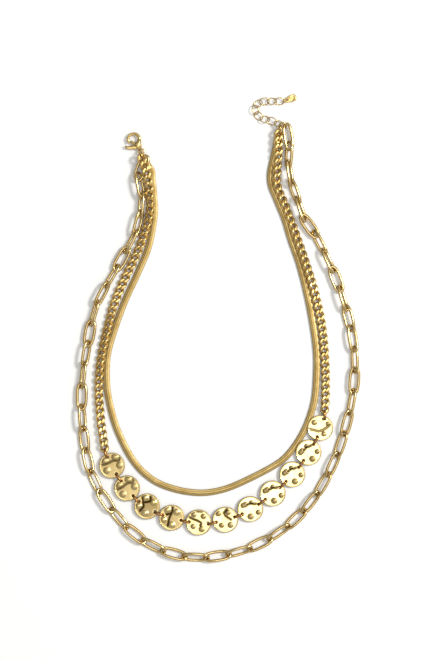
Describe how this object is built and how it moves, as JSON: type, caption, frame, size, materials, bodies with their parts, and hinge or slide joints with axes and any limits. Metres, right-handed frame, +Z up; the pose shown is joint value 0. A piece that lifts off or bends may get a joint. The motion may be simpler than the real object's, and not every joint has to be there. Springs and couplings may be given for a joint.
{
  "type": "multi strand necklace",
  "caption": "Layered gold-coloured necklace laid open: flat snake chain, curb chain with a row of hammered discs, long oval links, lobster clasp and extender with a drop tag",
  "frame": {"origin": "centre of the laid-out necklace's outline, on the table that it lies on", "axes": "+X to the wearer's left seen from the front, +Y towards the clasp, +Z up from the table"},
  "size_m": [0.1452, 0.2387, 0.0068],
  "materials": {
    "snake_gold": "bright pale gold plating over fine scales",
    "curb_gold": "polished gold plating with flat bright highlights",
    "link_gold": "polished gold plating",
    "hammered_gold": "hammered gold plating, antiqued in the hollows",
    "copper_gold": "polished reddish gold plating",
    "polished_gold": "polished gold plating"
  },
  "bodies": {
    "necklace": {"snake_chain": "snake_gold", "snake_cap_left": "polished_gold", "snake_cap_right": "polished_gold", "curb_chain_left": "curb_gold", "curb_chain_right": "curb_gold", "disc_01": "hammered_gold", "disc_02": "hammered_gold", "disc_03": "hammered_gold", "disc_04": "hammered_gold", "disc_05": "hammered_gold", "disc_06": "hammered_gold", "disc_07": "hammered_gold", "disc_08": "hammered_gold", "disc_09": "hammered_gold", "disc_10": "hammered_gold", "disc_11": "hammered_gold", "disc_rings": "copper_gold", "oval_chain_left": "link_gold", "oval_chain_right": "link_gold", "end_ring_left": "polished_gold", "end_ring_right": "polished_gold", "oval_end_ring": "polished_gold", "extender_chain": "polished_gold", "tag_ring": "polished_gold", "drop_tag": "polished_gold", "clasp_body": "polished_gold", "clasp_pin": "polished_gold"},
    "lever": {"clasp_lever": "polished_gold"}
  },
  "joints": [
    {"name": "lever_hinge", "type": "hinge", "parent": "necklace", "child": "lever", "pos_m": [-0.03998, 0.09232, 0.0019], "axis": [0, 0, -1], "range_deg": [0, 14], "stiffness_Nm_per_rad": 0.003, "springref_deg": -5.73}
  ]
}
